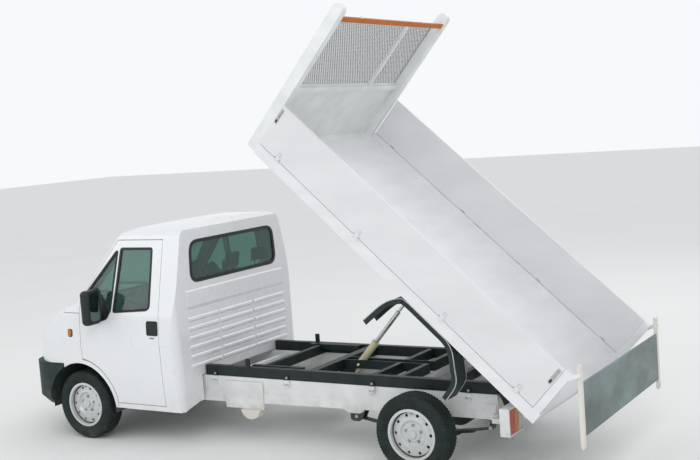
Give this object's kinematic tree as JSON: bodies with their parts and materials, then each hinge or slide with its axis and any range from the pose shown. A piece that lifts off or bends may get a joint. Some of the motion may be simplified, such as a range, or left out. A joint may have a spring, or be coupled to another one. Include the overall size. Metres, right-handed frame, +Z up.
{
  "type": "tipper truck",
  "caption": "Small tipper truck with a steel cab, ladder chassis, drop-side tipping bed lifted by a telescopic ram, and a hanging tailboard.",
  "frame": {"origin": "centre of the bounding box's base, on the ground, with the bed raised", "axes": "+X rearwards, +Y to the vehicle's right, +Z up"},
  "size_m": [6.0814, 2.39, 3.9084],
  "materials": {
    "chassis_frame": "satin",
    "tipper_subframe": "satin",
    "cab_shell": "gloss",
    "front_wings": "gloss",
    "front_bumper": "matte",
    "headlamps": "clear",
    "cab_glass": "tinted",
    "dashboard": "matte",
    "seats": "woven",
    "engine_block": "rough",
    "fuel_tank": "matte",
    "exhaust": "dull",
    "hydraulic_tank": "satin",
    "front_suspension": "rough",
    "rear_axle": "rough",
    "leaf_springs": "dull",
    "tail_lamps": "satin",
    "bonnet": "gloss",
    "door": "gloss",
    "door_glass": "tinted",
    "mirror": "matte",
    "knuckle": "rough",
    "rim": "satin",
    "tyre": "matte",
    "ram_barrel": "satin",
    "ram_stage_1": "polished",
    "ram_stage_2": "polished",
    "bed_floor": "satin",
    "headboard_frame": "satin",
    "headboard_mesh": "galvanised",
    "headboard_bar": "satin",
    "rear_mudguards": "matte",
    "dropside": "painted",
    "tailboard": "dull"
  },
  "bodies": {
    "chassis": {"chassis_frame": "chassis_frame", "tipper_subframe": "tipper_subframe", "cab_shell": "cab_shell", "front_wings": "front_wings", "front_bumper": "front_bumper", "headlamps": "headlamps", "cab_glass": "cab_glass", "dashboard": "dashboard", "seats": "seats", "engine_block": "engine_block", "fuel_tank": "fuel_tank", "exhaust": "exhaust", "hydraulic_tank": "hydraulic_tank", "front_suspension": "front_suspension", "rear_axle": "rear_axle", "leaf_springs": "leaf_springs", "tail_lamps": "tail_lamps"},
    "bonnet": {"bonnet": "bonnet"},
    "door_left": {"door_left": "door", "door_glass_left": "door_glass", "mirror_left": "mirror"},
    "door_right": {"door_right": "door", "door_glass_right": "door_glass", "mirror_right": "mirror"},
    "knuckle_left": {"knuckle_left": "knuckle"},
    "knuckle_right": {"knuckle_right": "knuckle"},
    "wheel_front_left": {"rim_front_left": "rim", "tyre_front_left": "tyre"},
    "wheel_front_right": {"rim_front_right": "rim", "tyre_front_right": "tyre"},
    "wheel_rear_left": {"rim_rear_left": "rim", "tyre_rear_left": "tyre"},
    "wheel_rear_right": {"rim_rear_right": "rim", "tyre_rear_right": "tyre"},
    "ram_barrel": {"ram_barrel": "ram_barrel"},
    "ram_stage_1": {"ram_stage_1": "ram_stage_1"},
    "ram_stage_2": {"ram_stage_2": "ram_stage_2"},
    "bed": {"bed_floor": "bed_floor", "headboard_frame": "headboard_frame", "headboard_mesh": "headboard_mesh", "headboard_bar": "headboard_bar", "rear_mudguards": "rear_mudguards"},
    "dropside_left": {"dropside_left": "dropside"},
    "dropside_right": {"dropside_right": "dropside"},
    "tailboard": {"tailboard": "tailboard"}
  },
  "joints": [
    {"name": "bed_tip", "type": "hinge", "parent": "chassis", "child": "bed", "pos_m": [2.215, 0, 0.583], "axis": [0, 1, 0], "range_deg": [-42.1, 0]},
    {"name": "tailboard_swing", "type": "hinge", "parent": "bed", "child": "tailboard", "pos_m": [2.99207, 0, 0.93885], "axis": [0, -1, 0], "range_deg": [-42.1, 48]},
    {"name": "ram_lean", "type": "hinge", "parent": "chassis", "child": "ram_barrel", "pos_m": [0.36, 0, 0.568], "axis": [0, -1, 0], "range_deg": [-45.25, 0]},
    {"name": "ram_extend_1", "type": "slide", "parent": "ram_barrel", "child": "ram_stage_1", "axis": [0.6704, 0, 0.742], "range_m": [-0.38658, 0]},
    {"name": "ram_extend_2", "type": "slide", "parent": "ram_stage_1", "child": "ram_stage_2", "axis": [0.6704, 0, 0.742], "range_m": [-0.38658, 0]},
    {"name": "bonnet_lift", "type": "hinge", "parent": "chassis", "child": "bonnet", "pos_m": [-2.355, 0, 1.302], "axis": [0, 1, 0], "range_deg": [0, 50]},
    {"name": "dropside_left_fold", "type": "hinge", "parent": "bed", "child": "dropside_left", "pos_m": [1.43948, -1.004, 1.73388], "axis": [0.742, 0, -0.6704], "range_deg": [0, 170]},
    {"name": "door_left_open", "type": "hinge", "parent": "chassis", "child": "door_left", "pos_m": [-2.143, -0.985, 1], "axis": [0, 0, -1], "range_deg": [0, 68]},
    {"name": "steer_left", "type": "hinge", "parent": "chassis", "child": "knuckle_left", "pos_m": [-2.2, -0.78, 0.343], "axis": [0, 0, 1], "range_deg": [-35, 35]},
    {"name": "wheel_front_left_spin", "type": "hinge", "parent": "knuckle_left", "child": "wheel_front_left", "pos_m": [-2.2, -0.86, 0.343], "axis": [0, 1, 0], "continuous": true},
    {"name": "wheel_rear_left_spin", "type": "hinge", "parent": "chassis", "child": "wheel_rear_left", "pos_m": [1.5, -0.86, 0.343], "axis": [0, 1, 0], "continuous": true},
    {"name": "dropside_right_fold", "type": "hinge", "parent": "bed", "child": "dropside_right", "pos_m": [1.43948, 1.004, 1.73388], "axis": [-0.742, 0, 0.6704], "range_deg": [0, 170]},
    {"name": "door_right_open", "type": "hinge", "parent": "chassis", "child": "door_right", "pos_m": [-2.143, 0.985, 1], "axis": [0, 0, 1], "range_deg": [0, 68]},
    {"name": "steer_right", "type": "hinge", "parent": "chassis", "child": "knuckle_right", "pos_m": [-2.2, 0.78, 0.343], "axis": [0, 0, 1], "range_deg": [-35, 35]},
    {"name": "wheel_front_right_spin", "type": "hinge", "parent": "knuckle_right", "child": "wheel_front_right", "pos_m": [-2.2, 0.86, 0.343], "axis": [0, 1, 0], "continuous": true},
    {"name": "wheel_rear_right_spin", "type": "hinge", "parent": "chassis", "child": "wheel_rear_right", "pos_m": [1.5, 0.86, 0.343], "axis": [0, 1, 0], "continuous": true}
  ],
  "couplings": [
    {"joint": "ram_lean", "follows": "bed_tip", "ratio": 1.0749},
    {"joint": "ram_extend_1", "follows": "bed_tip", "m_per_rad": 0.52611},
    {"joint": "ram_extend_2", "follows": "bed_tip", "m_per_rad": 0.52611},
    {"joint": "steer_right", "follows": "steer_left", "ratio": 1}
  ]
}
